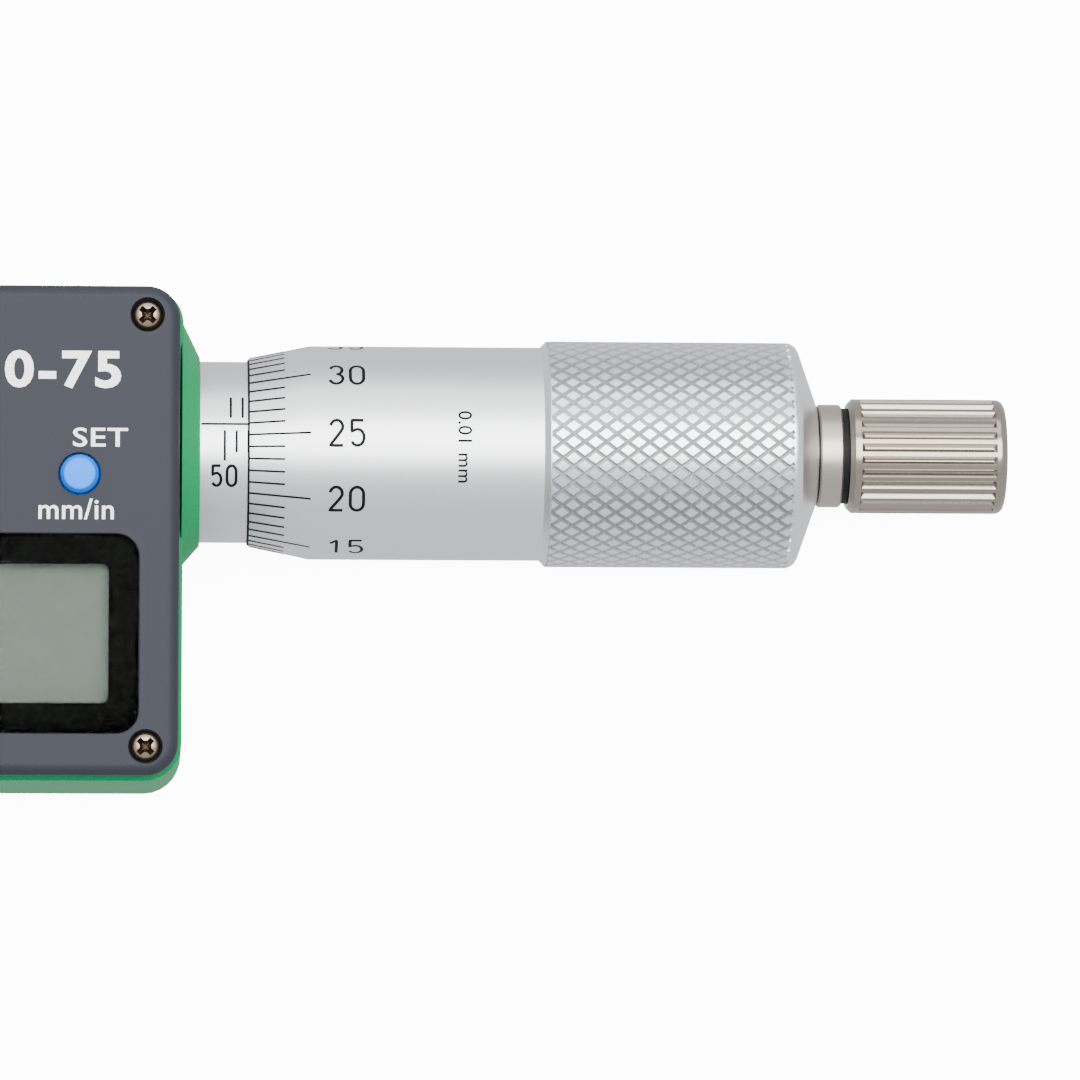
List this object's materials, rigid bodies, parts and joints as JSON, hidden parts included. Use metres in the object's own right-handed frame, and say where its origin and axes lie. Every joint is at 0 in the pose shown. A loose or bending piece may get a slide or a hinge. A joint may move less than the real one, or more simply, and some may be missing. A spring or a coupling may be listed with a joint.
{
  "type": "digital outside micrometer",
  "caption": "Outside micrometer with a bow frame, screwed display housing, graduated sleeve, bevelled thimble with a grip band and a ratchet stop.",
  "frame": {"origin": "centre of the anvil's measuring face", "axes": "+X along the spindle from the anvil to the ratchet, +Y from the bow towards the spindle, +Z out of the display"},
  "size_m": [0.2219, 0.0729, 0.024],
  "materials": {
    "green_paint": "gloss green enamel",
    "cover_plastic": "fine matt moulding",
    "black_plastic": "matt moulding",
    "blue_plastic": "semi-gloss",
    "white_plastic": "matt moulding",
    "grey_rubber": "matt",
    "lcd_glass": "grey-green reflective display",
    "clear_glass": "clear",
    "board_laminate": "solder-masked laminate",
    "satin_chrome": "satin chrome plate",
    "bright_steel": "bright turned",
    "ground_steel": "ground",
    "carbide": "lapped",
    "screw_steel": "nickel plated",
    "spring_steel": "drawn wire",
    "gold_contact": "plated strip"
  },
  "bodies": {
    "frame_assembly": {"frame": "green_paint", "anvil": "ground_steel", "anvil_tip": "carbide", "spindle_bush": "ground_steel", "spindle_seal": "grey_rubber", "inner_sleeve": "ground_steel", "outer_sleeve": "satin_chrome", "adjusting_nut": "ground_steel", "encoder_stator": "board_laminate", "rotor_spring": "spring_steel", "front_cover": "cover_plastic", "cover_seal": "grey_rubber", "display_window": "clear_glass", "display_holder": "white_plastic", "lcd_panel": "lcd_glass", "display_connector": "grey_rubber", "circuit_board": "board_laminate", "key_pad": "grey_rubber", "cover_screw_1": "screw_steel", "cover_screw_2": "screw_steel", "cover_screw_3": "screw_steel", "cover_screw_4": "screw_steel", "button_cell": "bright_steel", "battery_contact": "gold_contact", "battery_seal": "grey_rubber", "battery_cover": "black_plastic", "battery_cover_screw_1": "screw_steel", "battery_cover_screw_2": "screw_steel", "front_grip_plate": "black_plastic", "rear_grip_plate": "black_plastic", "plate_screw_1": "screw_steel", "plate_screw_2": "screw_steel", "plate_screw_3": "screw_steel", "plate_screw_4": "screw_steel"},
    "rotor_assembly": {"encoder_rotor": "ground_steel"},
    "spindle_assembly": {"spindle": "ground_steel", "spindle_tip": "carbide", "thimble": "satin_chrome", "ratchet_body": "bright_steel", "ratchet_wheel": "ground_steel", "ratchet_screw": "screw_steel"},
    "knob_assembly": {"ratchet_knob": "bright_steel", "ratchet_pawl": "ground_steel", "ratchet_spring": "spring_steel"},
    "left_button_body": {"left_button": "blue_plastic"},
    "right_button_body": {"right_button": "blue_plastic"},
    "lock_assembly": {"lock_lever": "bright_steel", "lock_clip": "spring_steel"}
  },
  "joints": [
    {"name": "screw_turn", "type": "hinge", "parent": "frame_assembly", "child": "rotor_assembly", "pos_m": [0.1198, 0, 0], "axis": [1, 0, 0], "range_deg": [-1267.2, 16732.8]},
    {"name": "screw_travel", "type": "slide", "parent": "rotor_assembly", "child": "spindle_assembly", "axis": [1, 0, 0], "range_m": [-0.00176, 0.02324]},
    {"name": "ratchet_turn", "type": "hinge", "parent": "spindle_assembly", "child": "knob_assembly", "pos_m": [0.1885, 0, 0], "axis": [1, 0, 0], "continuous": true},
    {"name": "left_button_press", "type": "slide", "parent": "frame_assembly", "child": "left_button_body", "axis": [0, 0, -1], "range_m": [0, 0.0005], "stiffness_N_per_m": 600},
    {"name": "right_button_press", "type": "slide", "parent": "frame_assembly", "child": "right_button_body", "axis": [0, 0, -1], "range_m": [0, 0.0005], "stiffness_N_per_m": 600},
    {"name": "lock_turn", "type": "hinge", "parent": "frame_assembly", "child": "lock_assembly", "pos_m": [0.08618, -0.00528, 0], "axis": [0, 0, 1], "range_deg": [-45, 35]}
  ],
  "couplings": [
    {"joint": "screw_turn", "follows": "screw_travel", "rad_per_m": 12566}
  ]
}
